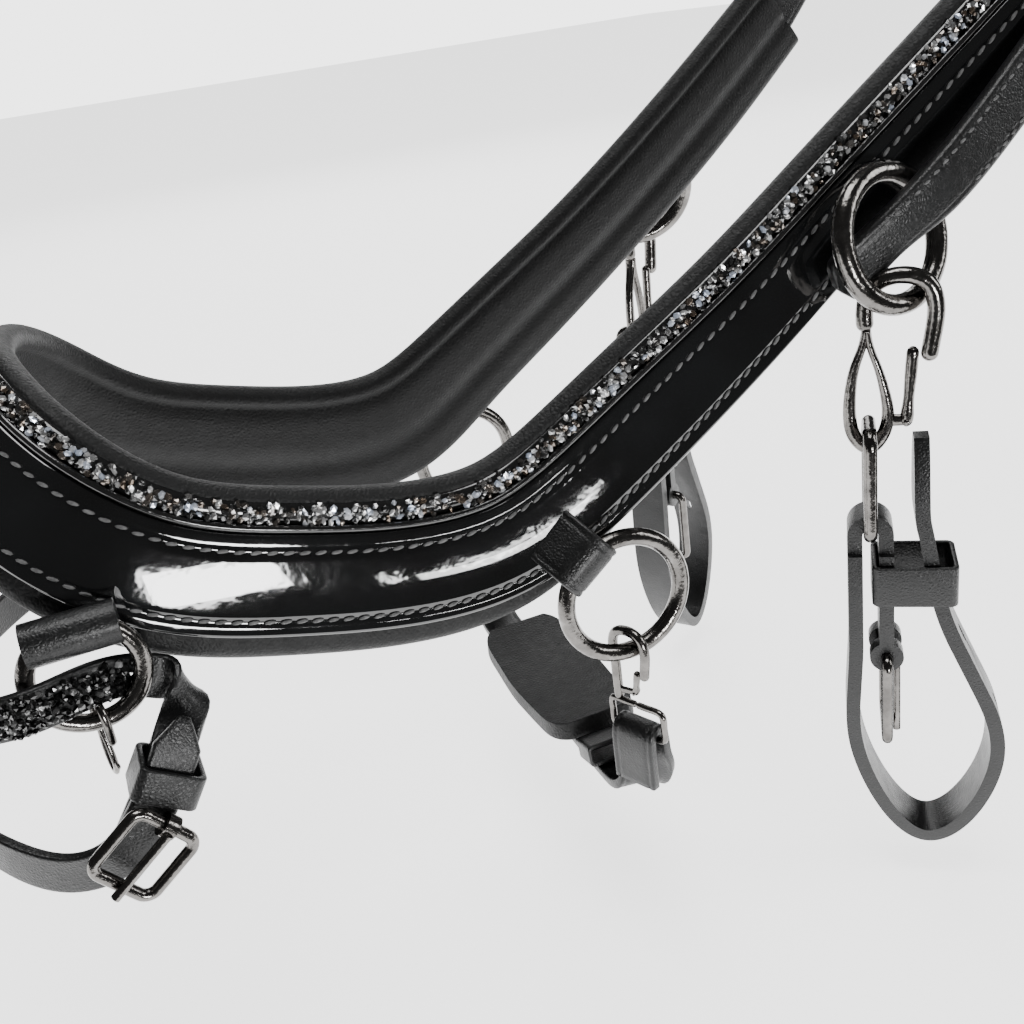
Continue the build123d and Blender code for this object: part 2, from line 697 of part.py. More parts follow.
flash_run = Vector(0.8, 0.02, 0.6).normalized()
flash_place = at(-116.0, -73.4, -10.6)
flash_fittings = fasten(flash_place, -flash_run, Vector(0, -1, 0), 9.4, 8.0)
for kind, piece in zip(("buckle", "tongue"), flash_fittings):
    save(f"flash_{kind}", piece)
with BuildPart() as flash_keeper:
    keeper_run = Vector(0.55, 0.08, 0.83)
    keeper_origin = at(-108.6, -67.4, -0.8)
    across_keeper = keeper_run.cross(Vector(0, -1, 0))
    with BuildSketch(Plane(origin=keeper_origin, x_dir=across_keeper, z_dir=keeper_run)):
        RectangleRounded(13.4, 13.0, 2.0)
        RectangleRounded(10.8, 10.4, 1.2, mode=Mode.SUBTRACT)
    extrude(amount=3.6, both=True)
save("flash_keeper", flash_keeper)

# ---- cheek buckles ----
cheek_run = (cheek_route[-2] - cheek_route[-1]).normalized()
cheek_stack = billet_step + strap_thick     # cheekpiece, billet and the room between them
cheek_place = cheek_route[-1] * 0.7 + cheek_route[-2] * 0.3
cheek_place = cheek_place - Vector(0, billet_step + strap_thick / 2, 0)
cheek_fittings = fasten(cheek_place, cheek_run * -1, Vector(0, -1, 0), strap_width, cheek_stack)
for kind, piece in zip(("buckle", "tongue", "keeper"), cheek_fittings):
    save_pair(f"cheek_{kind}", piece)

# ---- throat strap ----
throat_near = [
    at(270, -80.6, 271),
    at(286, -83.5, 238),
    at(303, -80, 200),
    at(316, -72, 156),
    at(325, -48, 118),
    at(329, 0, 100),
]
throat_route = throat_near + [flip(point) for point in throat_near[-2::-1]]
throat_across = [Vector(1, 0, 0.35)] * len(throat_route)
throat_width = 12.0
throat_widths = [throat_width] * len(throat_route)
save("throat_strap", ribbon(throat_route, throat_across, throat_widths, thin_strap))
throat_run = (throat_near[2] - throat_near[3]).normalized()
throat_out = throat_run.cross(Vector(1, 0, 0.35)).normalized() * -1
throat_place = (throat_near[2] + throat_near[3]) / 2 + throat_out * (thin_strap / 2 + 1.6)
throat_fittings = fasten(throat_place, throat_run, throat_out, throat_width, thin_strap + 1.6)
for kind, piece in zip(("buckle", "tongue", "keeper"), throat_fittings):
    save(f"throat_{kind}", piece)

# ---- browband ----
brow_near = [
    at(224, -88.0, 246),
    at(213, -82, 252),
    at(196, -62, 257),
    at(181, -33, 259),
    at(176, 0, 260),
]
brow_route = brow_near + [flip(point) for point in brow_near[-2::-1]]
brow_across = [Vector(0.62, 0, 0.78)] * len(brow_route)
brow_widths = [17, 18, 19, 20, 20, 20, 19, 18, 17]
brow_thick = 5.0
loop_run = Vector(0.62, 0, 0.78)
loop_wide = Vector(0.78, 0, -0.62)
brow_ribbon = ribbon(brow_route, brow_across, brow_widths, brow_thick)
with BuildPart() as browband:
    add(brow_ribbon.part)
    for side in (-1, 1):
        with BuildSketch(Plane(origin=at(232.0, side * 80.4, 238.5), x_dir=loop_wide, z_dir=loop_run)):
            RectangleRounded(34.0, 17.0, 3.0)
        extrude(amount=8.5, both=True)
    for side in (-1, 1):
        with BuildSketch(Plane(origin=at(232.0, side * 80.4, 238.5), x_dir=loop_wide, z_dir=loop_run)):
            RectangleRounded(29.4, 12.4, 2.0)
        extrude(amount=14.0, both=True, mode=Mode.SUBTRACT)
save("browband", browband)
brow_crystal_thick = 2.2
brow_lift = -(brow_thick + brow_crystal_thick) / 2 - 0.2
brow_crystal_widths = [11.0] * len(brow_route)
browband_crystals = ribbon(
    brow_route, brow_across, brow_crystal_widths, brow_crystal_thick,
    lift=brow_lift, first=0.12, last=0.88,
)
save("browband_crystals", browband_crystals)
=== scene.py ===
"""The snaffle bridle's looks: patent noseband, padded lining, crystals, stitching and hardware.

Metres, +Z up. The origin is the poll seat, the nose points to -X and the near side is -Y.
"""
import json
from math import cos, pi, radians, sin

import bmesh
import bpy
import numpy as np
from mathutils import Matrix, Vector


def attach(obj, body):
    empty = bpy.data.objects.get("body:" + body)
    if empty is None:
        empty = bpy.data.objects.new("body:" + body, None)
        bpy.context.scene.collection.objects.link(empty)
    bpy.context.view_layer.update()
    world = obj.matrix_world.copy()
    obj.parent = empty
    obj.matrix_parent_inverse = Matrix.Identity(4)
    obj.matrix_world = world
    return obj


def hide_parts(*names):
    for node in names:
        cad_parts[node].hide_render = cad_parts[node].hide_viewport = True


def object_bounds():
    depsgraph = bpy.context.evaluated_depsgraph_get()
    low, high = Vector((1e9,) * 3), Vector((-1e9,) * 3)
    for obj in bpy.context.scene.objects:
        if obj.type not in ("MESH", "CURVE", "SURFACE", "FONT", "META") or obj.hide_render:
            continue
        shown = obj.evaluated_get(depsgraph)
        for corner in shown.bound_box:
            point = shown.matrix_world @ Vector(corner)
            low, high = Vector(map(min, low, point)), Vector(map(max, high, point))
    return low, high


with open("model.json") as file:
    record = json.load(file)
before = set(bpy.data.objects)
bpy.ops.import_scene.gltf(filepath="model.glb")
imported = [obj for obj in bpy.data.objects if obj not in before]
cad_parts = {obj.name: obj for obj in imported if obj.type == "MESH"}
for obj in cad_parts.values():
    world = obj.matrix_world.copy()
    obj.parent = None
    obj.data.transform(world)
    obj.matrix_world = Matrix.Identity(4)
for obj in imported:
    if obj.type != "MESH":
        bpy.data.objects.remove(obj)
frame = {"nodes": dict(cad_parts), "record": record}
cad_box = [list(corner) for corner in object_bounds()]
nodes = frame["nodes"]

MM = 0.001
POLL = np.array([300.0, 0.0, 320.0])    # the poll seat, measured from the middle of the chin rings
SIDES = ("near", "far")


# ---------------------------------------------------------------- shader tools

class Value:
    """A shader socket that works in arithmetic."""

    def __init__(self, finish, socket):
        self.finish = finish
        self.socket = socket

    def _math(self, operation, first, second):
        return self.finish.node("ShaderNodeMath", {"operation": operation}, {0: first, 1: second})

    def __add__(self, other):
        return self._math("ADD", self, other)

    def __mul__(self, other):
        return self._math("MULTIPLY", self, other)

    __radd__ = __add__
    __rmul__ = __mul__


class Finish:
    """A material, with its Principled shader and one method that adds nodes."""

    def __init__(self, name, **constants):
        self.material = bpy.data.materials.new(name)
        self.material.use_nodes = True
        self.tree = self.material.node_tree
        self.shader = self.tree.nodes["Principled BSDF"]
        self.place = self.node("ShaderNodeTexCoord", {}, {}, out="Object")
        for socket, value in constants.items():
            self.shader.inputs[socket.replace("_", " ")].default_value = value

    def node(self, kind, settings, inputs, out=0):
        made = self.tree.nodes.new(kind)
        for key, value in settings.items():
            if key == "ramp":
                ends = made.color_ramp.elements
                while len(ends) < len(value):
                    ends.new(1.0)
                for end, (position, colour) in zip(ends, value):
                    end.position = position
                    end.color = colour
            else:
                setattr(made, key, value)
        for key, value in inputs.items():
            if isinstance(value, Value):
                self.tree.links.new(value.socket, made.inputs[key])
            else:
                made.inputs[key].default_value = value
        return Value(self, made.outputs[out])

    def noise(self, scale, detail=3.0, roughness=0.55):
        values = {"Vector": self.place, "Scale": scale, "Detail": detail, "Roughness": roughness}
        return self.node("ShaderNodeTexNoise", {"noise_dimensions": "3D"}, values)

    def cells(self, scale):
        """Distance to the nearest edge between cells."""
        settings = {"voronoi_dimensions": "3D", "feature": "DISTANCE_TO_EDGE"}
        values = {"Vector": self.place, "Scale": scale, "Randomness": 1.0}
        return self.node("ShaderNodeTexVoronoi", settings, values, out="Distance")

    def ramp(self, value, stops):
        return self.node("ShaderNodeValToRGB", {"ramp": stops}, {"Fac": value}, out="Color")

    def attribute(self, name):
        return self.node("ShaderNodeAttribute", {"attribute_name": name}, {}, out="Fac")

    def between(self, value, low, high):
        """A value from low to high as the input goes from 0 to 1."""
        return value * (high - low) + low

    def feed(self, socket, value):
        self.tree.links.new(value.socket, self.shader.inputs[socket])

    def relief(self, height, distance, strength):
        values = {"Height": height, "Distance": distance, "Strength": strength}
        self.feed("Normal", self.node("ShaderNodeBump", {}, values, out="Normal"))


def grey(level, warm=0.0):
    return (level * (1 + warm), level, level * (1 - warm), 1.0)


def patent_leather():
    """Black lacquer: mirror gloss with slow waves in it."""
    f = Finish("patent_leather", Coat_Weight=1.0, Coat_Roughness=0.02, Specular_IOR_Level=0.6)
    cloud = f.noise(38.0, 2.0)
    f.feed("Base Color", f.ramp(cloud, [(0.3, grey(0.0035)), (0.75, grey(0.0085, -0.06))]))
    f.feed("Roughness", f.between(f.noise(160.0, 4.0), 0.03, 0.10))
    f.relief(f.noise(46.0, 1.0) + f.noise(230.0, 2.0) * 0.12, 0.0009, 0.55)
    return f.material


def soft_leather():
    """Matt black padding leather with a pebble grain and soft creases."""
    f = Finish("soft_leather", Specular_IOR_Level=0.32, Sheen_Weight=0.04, Sheen_Roughness=0.5)
    tone = f.noise(70.0, 5.0)
    f.feed("Base Color", f.ramp(tone, [(0.25, grey(0.0035)), (0.8, grey(0.009, -0.03))]))
    f.feed("Roughness", f.between(f.noise(420.0, 3.0), 0.40, 0.68))
    pebble = f.cells(950.0) * 0.7
    crease = f.noise(120.0, 4.0, 0.65)
    f.relief(pebble + crease * 0.55, 0.00045, 0.7)
    return f.material


def strap_leather():
    """Bridle leather: satin black with a fine grain and a rubbed sheen."""
    f = Finish("strap_leather", Coat_Weight=0.15, Coat_Roughness=0.25, Specular_IOR_Level=0.42)
    tone = f.noise(95.0, 5.0)
    f.feed("Base Color", f.ramp(tone, [(0.25, grey(0.003)), (0.8, grey(0.009, -0.04))]))
    f.feed("Roughness", f.between(f.noise(260.0, 4.0), 0.27, 0.52))
    grain = f.cells(1250.0) * 0.6
    pull = f.noise(180.0, 4.0, 0.6)
    f.relief(grain + pull * 0.6, 0.00036, 0.75)
    return f.material


def gloss_piping():
    """Thin rolled patent cord."""
    f = Finish("gloss_piping", Coat_Weight=0.8, Coat_Roughness=0.06)
    f.feed("Base Color", f.ramp(f.noise(90.0), [(0.3, grey(0.006)), (0.8, grey(0.014))]))
    f.feed("Roughness", f.between(f.noise(300.0), 0.12, 0.24))
    f.relief(f.noise(420.0, 2.0), 0.0003, 0.5)
    return f.material


def gunmetal():
    """Polished black nickel over a slightly uneven casting; its colour is mottled with painted reflections.
    """
    f = Finish("gunmetal_hardware", Metallic=1.0)
    # painted reflection: the mottled base colour stands in for the uneven reflections off the cast surface
    reflection_mottle = f.noise(210.0, 5.0, 0.6)
    tones = [(0.3, grey(0.10, 0.05)), (0.62, grey(0.19, 0.05)), (0.85, grey(0.34, 0.03))]
    f.feed("Base Color", f.ramp(reflection_mottle, tones))
    f.feed("Roughness", f.between(f.noise(340.0, 3.0), 0.10, 0.25))
    f.relief(f.noise(330.0, 3.0) + f.noise(1300.0, 2.0) * 0.2, 0.00035, 0.55)
    return f.material


def thread():
    """Grey waxed thread, twisted."""
    f = Finish("grey_thread", Specular_IOR_Level=0.5)
    f.feed("Base Color", f.ramp(f.noise(900.0), [(0.3, grey(0.07)), (0.75, grey(0.18))]))
    f.feed("Roughness", f.between(f.noise(1500.0), 0.42, 0.7))
    f.relief(f.noise(3200.0, 2.0), 0.0002, 0.7)
    return f.material


def crystal(name, stops):
    """Metal-backed cut crystal; each stone takes its tone from its own attribute."""
    f = Finish(name, Coat_Weight=0.7, Coat_Roughness=0.03)
    tone = f.attribute("tone")
    f.feed("Base Color", f.ramp(tone, stops))
    f.feed("Metallic", f.ramp(tone, [(0.0, grey(0.92)), (0.55, grey(0.85)), (1.0, grey(0.45))]))
    f.feed("Roughness", f.between(f.noise(1500.0, 2.0), 0.05, 0.16))
    f.relief(f.noise(2600.0, 2.0), 0.0001, 0.3)
    return f.material


PATENT = patent_leather()
LINING = soft_leather()
STRAP = strap_leather()
PIPING = gloss_piping()
METAL = gunmetal()
THREAD = thread()
SILVER_STONES = crystal("silver_crystals", [
    (0.0, grey(0.05)), (0.22, grey(0.16)), (0.42, (0.20, 0.15, 0.11, 1)), (0.56, grey(0.45)),
    (0.80, grey(0.72)), (0.93, (0.62, 0.70, 0.86, 1)), (1.0, grey(1.0)),
])
BLACK_STONES = crystal("black_crystals", [
    (0.0, grey(0.012)), (0.7, grey(0.05)), (0.92, grey(0.16)), (1.0, grey(0.5)),
])


# ---------------------------------------------------------------- shape tools

def at(x, y, z):
    """A point given in millimetres from the middle of the chin rings."""
    return (np.array([x, y, z], float) - POLL) * MM


def flip(v):
    return np.array([v[0], -v[1], v[2]])


def unit(v):
    return v / np.linalg.norm(v)


def smooth_through(rows, step):
    """Rows of numbers, the first three a place, sampled evenly along a natural cubic through them."""
    rows = np.array(rows, float)
    gaps = np.linalg.norm(np.diff(rows[:, :3], axis=0), axis=1)
    knots = np.concatenate([[0], np.cumsum(gaps)])
    count = len(knots)
    system = np.zeros((count, count))
    right = np.zeros((count, rows.shape[1]))
    system[0, 0] = 1
    system[-1, -1] = 1
    for i in range(1, count - 1):
        before = gaps[i - 1]
        after = gaps[i]
        system[i, i - 1:i + 2] = before, 2 * (before + after), after
        right[i] = 6 * ((rows[i + 1] - rows[i]) / after - (rows[i] - rows[i - 1]) / before)
    bend = np.linalg.solve(system, right)
    places = np.linspace(0, knots[-1], max(3, int(knots[-1] / step) + 1))
    found = np.clip(np.searchsorted(knots, places, side="right") - 1, 0, count - 2)
    gap = gaps[found][:, None]
    b = (places - knots[found])[:, None] / gap
    a = 1 - b
    curve = a * rows[found] + b * rows[found + 1]
    curve += ((a ** 3 - a) * bend[found] + (b ** 3 - b) * bend[found + 1]) * gap ** 2 / 6
    return curve


class Strip:
    """Stations along a strap or band: place, direction across, direction outward and extra values."""

    def __init__(self, stations, step=0.0018):
        rows = [np.concatenate([place, unit(across), extras]) for place, across, extras in stations]
        curve = smooth_through(rows, step)
        self.place = curve[:, :3]
        along = np.gradient(self.place, axis=0)
        along /= np.linalg.norm(along, axis=1)[:, None]
        across = curve[:, 3:6]
        across = across - along * np.sum(across * along, axis=1)[:, None]
        self.across = across / np.linalg.norm(across, axis=1)[:, None]
        self.along = along
        self.out = np.cross(along, self.across)
        self.extras = curve[:, 6:]

    def point(self, i, x, y):
        return self.place[i] + self.across[i] * x + self.out[i] * y

    def __len__(self):
        return len(self.place)


def finish_mesh(name, bm, material):
    """Turns the bmesh into a smooth-shaded object with outward normals."""
    bmesh.ops.remove_doubles(bm, verts=bm.verts, dist=1e-6)
    bmesh.ops.recalc_face_normals(bm, faces=bm.faces)
    mesh = bpy.data.meshes.new(name)
    bm.to_mesh(mesh)
    bm.free()
    mesh.materials.append(material)
    mesh.polygons.foreach_set("use_smooth", [True] * len(mesh.polygons))
    piece = bpy.data.objects.new(name, mesh)
    bpy.context.scene.collection.objects.link(piece)
    return piece


def loft(name, strip, profile, material):
    """A closed tube of the profile along the strip; profile gives (x, y) points for a station."""
    bm = bmesh.new()
    rings = []
    for i in range(len(strip)):
        rings.append([bm.verts.new(strip.point(i, x, y)) for x, y in profile(i)])
    for one, two in zip(rings[:-1], rings[1:]):
        for k in range(len(one)):
            j = (k + 1) % len(one)
            bm.faces.new((one[k], one[j], two[j], two[k]))
    for end in (rings[0], rings[-1]):
        centre = bm.verts.new(sum((v.co for v in end), Vector()) / len(end))
        for k in range(len(end)):
            bm.faces.new((end[k], end[(k + 1) % len(end)], centre))
    return finish_mesh(name, bm, material)


def arc(cx, cy, radius, start, stop, steps):
    return [
        (cx + radius * cos(radians(start + (stop - start) * k / steps)),
         cy + radius * sin(radians(start + (stop - start) * k / steps)))
        for k in range(steps + 1)
    ]


def pressed(x, lines, width, depth):
    """How far the surface is pulled in beside the sewn lines."""
    return sum(-depth * np.exp(-((x - line) / width) ** 2) for line in lines)


CREASE_WIDE = 0.00035
CREASE_DEEP = 0.00022


def strap_profile(width, thick, lines=(), crown=0.0, edge=0.0009):
    """A strap with rounded edges, a slightly crowned face and pressed lines near its edges."""
    half = width / 2
    top = thick / 2
    face = []
    for x in np.linspace(half - edge, -half + edge, 25):
        level = top + crown * (1 - (x / half) ** 2) + pressed(x, lines, CREASE_WIDE, CREASE_DEEP)
        face.append((x, level))
    back = [(-x, -y) for x, y in face]
    right = []
    for height, start in ((-top + edge, -pi / 2), (top - edge, 0)):
        for a in np.linspace(start, start + pi / 2, 4):
            right.append((half - edge + edge * cos(a), height + edge * sin(a)))
    left = [(-x, -y) for x, y in right]
    return right + face[1:-1] + left + back[1:-1]


# ---------------------------------------------------------------- node-built repeats

def node_group(name, sockets):
    """A geometry node tree with a geometry input, the named number inputs and a geometry output."""
    tree = bpy.data.node_groups.new(name, "GeometryNodeTree")
    tree.interface.new_socket("Geometry", in_out="INPUT", socket_type="NodeSocketGeometry")
    for label, kind, value in sockets:
        made = tree.interface.new_socket(label, in_out="INPUT", socket_type=kind)
        if value is not None:
            made.default_value = value
    tree.interface.new_socket("Geometry", in_out="OUTPUT", socket_type="NodeSocketGeometry")
    return tree


def add(tree, kind, settings=None, inputs=None):
    """Adds a node, its settings first, then its values and links."""
    made = tree.nodes.new(kind)
    for key, value in (settings or {}).items():
        setattr(made, key, value)
    for key, value in (inputs or {}).items():
        if isinstance(value, bpy.types.NodeSocket):
            tree.links.new(value, made.inputs[key])
        else:
            made.inputs[key].default_value = value
    return made


def stitch_tree():
    """Slanted stitches along a route, each a small rounded dash that lies on the leather."""
    tree = node_group("stitch_run", [
        ("Pitch", "NodeSocketFloat", 0.0034), ("Length", "NodeSocketFloat", 0.0026),
        ("Width", "NodeSocketFloat", 0.0008), ("Slant", "NodeSocketFloat", 0.2),
        ("Material", "NodeSocketMaterial", None),
    ])
    start = add(tree, "NodeGroupInput")
    end = add(tree, "NodeGroupOutput")
    outward = add(tree, "GeometryNodeInputNamedAttribute", {"data_type": "FLOAT_VECTOR"}, {"Name": "outward"})
    route = add(tree, "GeometryNodeMeshToCurve", {}, {"Mesh": start.outputs["Geometry"]})
    even = add(tree, "GeometryNodeResampleCurve", {}, {"Curve": route.outputs[0]})
    even.mode = "LENGTH"
    tree.links.new(start.outputs["Pitch"], even.inputs["Length"])
    tangent = add(tree, "GeometryNodeInputTangent")
    lie = add(tree, "FunctionNodeAlignEulerToVector", {"axis": "Z"}, {"Vector": outward.outputs[0]})
    run = add(tree, "FunctionNodeAlignEulerToVector", {"axis": "X", "pivot_axis": "Z"},
              {"Rotation": lie.outputs[0], "Vector": tangent.outputs[0]})
    slant = add(tree, "ShaderNodeCombineXYZ", {}, {"Z": start.outputs["Slant"]})
    turned = add(tree, "FunctionNodeRotateEuler", {"space": "LOCAL"},
                 {"Rotation": run.outputs[0], "Rotate By": slant.outputs[0]})
    dash = add(tree, "GeometryNodeMeshUVSphere", {}, {"Segments": 8, "Rings": 5, "Radius": 0.5})
    size = add(tree, "ShaderNodeCombineXYZ", {}, {
        "X": start.outputs["Length"], "Y": start.outputs["Width"], "Z": start.outputs["Width"],
    })
    shaped = add(tree, "GeometryNodeTransform", {}, {"Geometry": dash.outputs[0], "Scale": size.outputs[0]})
    placed = add(tree, "GeometryNodeInstanceOnPoints", {}, {
        "Points": even.outputs[0], "Instance": shaped.outputs[0], "Rotation": turned.outputs[0],
    })
    real = add(tree, "GeometryNodeRealizeInstances", {}, {"Geometry": placed.outputs[0]})
    shade = add(tree, "GeometryNodeSetShadeSmooth", {}, {"Geometry": real.outputs[0]})
    coat = add(tree, "GeometryNodeSetMaterial", {}, {
        "Geometry": shade.outputs[0], "Material": start.outputs["Material"],
    })
    tree.links.new(coat.outputs[0], end.inputs[0])
    return tree


def crystal_tree():
    """Stones scattered over a strip: size, turn and tone differ from stone to stone."""
    tree = node_group("crystal_scatter", [
        ("Spacing", "NodeSocketFloat", 0.00085), ("Density", "NodeSocketFloat", 900000.0),
        ("Smallest", "NodeSocketFloat", 0.00045), ("Largest", "NodeSocketFloat", 0.00115),
        ("Seed", "NodeSocketInt", 3), ("Material", "NodeSocketMaterial", None),
    ])
    start = add(tree, "NodeGroupInput")
    end = add(tree, "NodeGroupOutput")
    scatter = add(tree, "GeometryNodeDistributePointsOnFaces", {"distribute_method": "POISSON"}, {
        "Mesh": start.outputs["Geometry"], "Distance Min": start.outputs["Spacing"],
        "Density Max": start.outputs["Density"], "Seed": start.outputs["Seed"],
    })
    stone = add(tree, "GeometryNodeMeshIcoSphere", {}, {"Radius": 1.0, "Subdivisions": 1})
    low = add(tree, "ShaderNodeCombineXYZ", {}, {k: start.outputs["Smallest"] for k in "XYZ"})
    high = add(tree, "ShaderNodeCombineXYZ", {}, {k: start.outputs["Largest"] for k in "XYZ"})
    size = add(tree, "FunctionNodeRandomValue", {"data_type": "FLOAT_VECTOR"},
               {0: low.outputs[0], 1: high.outputs[0], "Seed": start.outputs["Seed"]})
    turn = add(tree, "FunctionNodeRandomValue", {"data_type": "FLOAT_VECTOR"},
               {0: (0, 0, 0), 1: (6.28, 6.28, 6.28), "Seed": 11})
    placed = add(tree, "GeometryNodeInstanceOnPoints", {}, {
        "Points": scatter.outputs[0], "Instance": stone.outputs[0],
        "Rotation": turn.outputs[0], "Scale": size.outputs[0],
    })
    tone = add(tree, "FunctionNodeRandomValue", {"data_type": "FLOAT"}, {"Seed": 29})
    toned = add(tree, "GeometryNodeStoreNamedAttribute", {"data_type": "FLOAT", "domain": "INSTANCE"}, {
        "Geometry": placed.outputs[0], "Name": "tone", "Value": tone.outputs[1],
    })
    real = add(tree, "GeometryNodeRealizeInstances", {}, {"Geometry": toned.outputs[0]})
    facets = add(tree, "GeometryNodeSetShadeSmooth", {}, {"Geometry": real.outputs[0], "Shade Smooth": False})
    coat = add(tree, "GeometryNodeSetMaterial", {}, {
        "Geometry": facets.outputs[0], "Material": start.outputs["Material"],
    })
    tree.links.new(coat.outputs[0], end.inputs[0])
    return tree


STITCH = stitch_tree()
SCATTER = crystal_tree()


def grow(carrier, tree, name, material, **values):
    """Runs the tree on the carrier and keeps the result as a plain mesh piece."""
    modifier = carrier.modifiers.new("grow", "NODES")
    modifier.node_group = tree
    for item in tree.interface.items_tree:
        if item.item_type != "SOCKET" or item.in_out != "INPUT":
            continue
        if item.name in values:
            modifier[item.identifier] = values[item.name]
        elif item.name == "Material":
            modifier[item.identifier] = material
    graph = bpy.context.evaluated_depsgraph_get()
    mesh = bpy.data.meshes.new_from_object(carrier.evaluated_get(graph))
    bpy.data.objects.remove(carrier)
    mesh.name = name
    piece = bpy.data.objects.new(name, mesh)
    bpy.context.scene.collection.objects.link(piece)
    return piece


def stitches(name, runs, body, **values):
    """Stitches along each run, a list of (place, outward) pairs."""
    mesh = bpy.data.meshes.new(name)
    points = []
    edges = []
    outward = []
    for run in runs:
        base = len(points)
        points += [tuple(place) for place, out in run]
        outward += [tuple(out) for place, out in run]
        edges += [(base + k, base + k + 1) for k in range(len(run) - 1)]
    mesh.from_pydata(points, edges, [])
    layer = mesh.attributes.new("outward", "FLOAT_VECTOR", "POINT")
    layer.data.foreach_set("vector", [c for out in outward for c in out])
    carrier = bpy.data.objects.new(name, mesh)
    bpy.context.scene.collection.objects.link(carrier)
    piece = grow(carrier, STITCH, name, THREAD, **values)
    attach(piece, body)
    return piece


def line_on(strip, x, y, first=0, last=None):
    """A line along the strip at (x, y), where x may be a function of the station."""
    last = len(strip) if last is None else last
    spot = x if callable(x) else (lambda i: x)
    return [(strip.point(i, spot(i), y), strip.out[i]) for i in range(first, last)]


def stones(name, strip, left, right, level, body, material, slot_name,
           first=0, last=None, level_sign=1, **values):
    """Crystals over the strip from left to right, on a face that crowns in the middle.

    level_sign is -1 for the strip's inner face.
    """
    last = len(strip) if last is None else last
    bm = bmesh.new()
    rows = []
    for i in range(first, last):
        a = left(i)
        b = right(i)
        height = [level_sign * (abs(level) + 0.0006 * sin(pi * k / 4)) for k in range(5)]
        rows.append([bm.verts.new(strip.point(i, a + (b - a) * k / 4, height[k])) for k in range(5)])
    for one, two in zip(rows[:-1], rows[1:]):
        for k in range(4):
            bm.faces.new((one[k], two[k], two[k + 1], one[k + 1]))
    carrier = finish_mesh(name, bm, material)
    piece = grow(carrier, SCATTER, name, material, **values)
    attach(piece, body)
    return piece


# ---------------------------------------------------------------- noseband

PANEL_THICK = 0.0022
LOWER_ROLL = 0.0056
UPPER_ROLL = 0.0095
NEAR_BAND = [
    (at(-134, 0, 67), (0.75, 0, 0.66), 11.4, 1.0),
    (at(-130.5, -23, 63.5), (0.68, 0.12, 0.72), 11.4, 1.0),
    (at(-119, -42.5, 50.5), (0.48, 0.20, 0.85), 11.4, 1.0),
    (at(-99, -49.5, 34), (0.34, 0.17, 0.93), 11.4, 1.0),
    (at(-73, -50.5, 23.8), (0.24, 0.14, 0.96), 11.4, 1.0),
    (at(-48, -50.5, 17.6), (0.18, 0.13, 0.97), 11.4, 1.0),
    (at(-22, -50.5, 17.6), (-0.12, 0.13, 0.98), 11.4, 0.8),
    (at(1, -50.5, 28.2), (-0.45, 0.13, 0.87), 11.2, 0.25),
    (at(22, -50.5, 41), (-0.55, 0.13, 0.82), 10.8, 0.1),
    (at(45, -50.5, 55.7), (-0.56, 0.13, 0.82), 10.0, 0.1),
    (at(71, -50.5, 74), (-0.57, 0.13, 0.81), 9.4, 0.1),
    (at(98, -52, 94), (-0.58, 0.13, 0.80), 8.9, 0.1),
    (at(122, -54, 113), (-0.62, 0.12, 0.77), 8.0, 0.1),
]


def band_stations():
    near = [(place, np.array(lift), (half * MM, roll)) for place, lift, half, roll in NEAR_BAND]
    far = [(flip(place), flip(lift), extras) for place, lift, extras in near[:0:-1]]
    return far + near


band = Strip(band_stations())


def half(i):
    return band.extras[i][0]


def roll(i):
    return max(band.extras[i][1], 0.0)


UPPER_STITCH = 0.0040      # from the panel's upper edge
LOWER_STITCH = 0.0037      # from its lower edge
DOME = 0.0005
SEAM_WIDE = 0.0008
SEAM_DEEP = 0.00035


def panel_face(x, h):
    """Height of the patent face: a soft dome, pressed along the two stitch lines."""
    dome = DOME * (1 - (x / h) ** 2)
    seams = (h - UPPER_STITCH, -h + LOWER_STITCH)
    return PANEL_THICK - 0.0003 + dome + pressed(x, seams, SEAM_WIDE, SEAM_DEEP)


def panel_profile(i):
    h = half(i)
    edge = 0.0009
    face = [(x, panel_face(x, h)) for x in np.linspace(h - edge * 0.6, -h + edge * 0.6, 44)]
    return arc(h - edge, edge, edge, -90, 40, 6) + face + arc(-h + edge, edge, edge, 140, 270, 6)


panel = loft("patent_panel", band, panel_profile, PATENT)
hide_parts("noseband_shell")
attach(panel, "headstall")


def lining_profile(i):
    """Rolled at both edges, with two sewn channels down the inside."""
    h = half(i)
    top = h + UPPER_ROLL
    low = -h - LOWER_ROLL * roll(i)
    upper = arc(top - 0.0036, -0.0031, 0.0036, 75, -100, 14)
    lower = arc(low + 0.0031, -0.0036, 0.0031, -80, -265, 12)
    inside = []
    for t in np.linspace(0.04, 0.96, 34):
        x = top - 0.0042 + (low + 0.0036 - top + 0.0042) * t
        inside.append((x, -0.0066 + 0.0011 * abs(cos(pi * 1.5 * t)) ** 6 - 0.0004 * sin(pi * t)))
    front = [(x, -0.0004) for x in np.linspace(low + 0.0042, top - 0.0060, 6)]
    return upper + inside + lower + front


lining = loft("padded_lining", band, lining_profile, LINING)
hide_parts("noseband_lining")
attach(lining, "headstall")

PIPE = 0.0009


def pipe_profile(i):
    return arc(half(i) + 0.0001 + PIPE, 0.0014, PIPE, 0, 345, 11)


piping = loft("panel_piping", band, pipe_profile, PIPING)
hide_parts("noseband_piping")
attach(piping, "headstall")

STRIP_BASE = 0.0019
STRIP_WIDE = 0.0046


def bed_profile(i):
    """The low rounded bed that the stones are set in."""
    middle_x = half(i) + STRIP_BASE + STRIP_WIDE / 2
    return [(x, 0.0001 + (y - 0.0003) * 0.55) for x, y in arc(middle_x, 0.0003, STRIP_WIDE / 2, 0, 180, 10)]


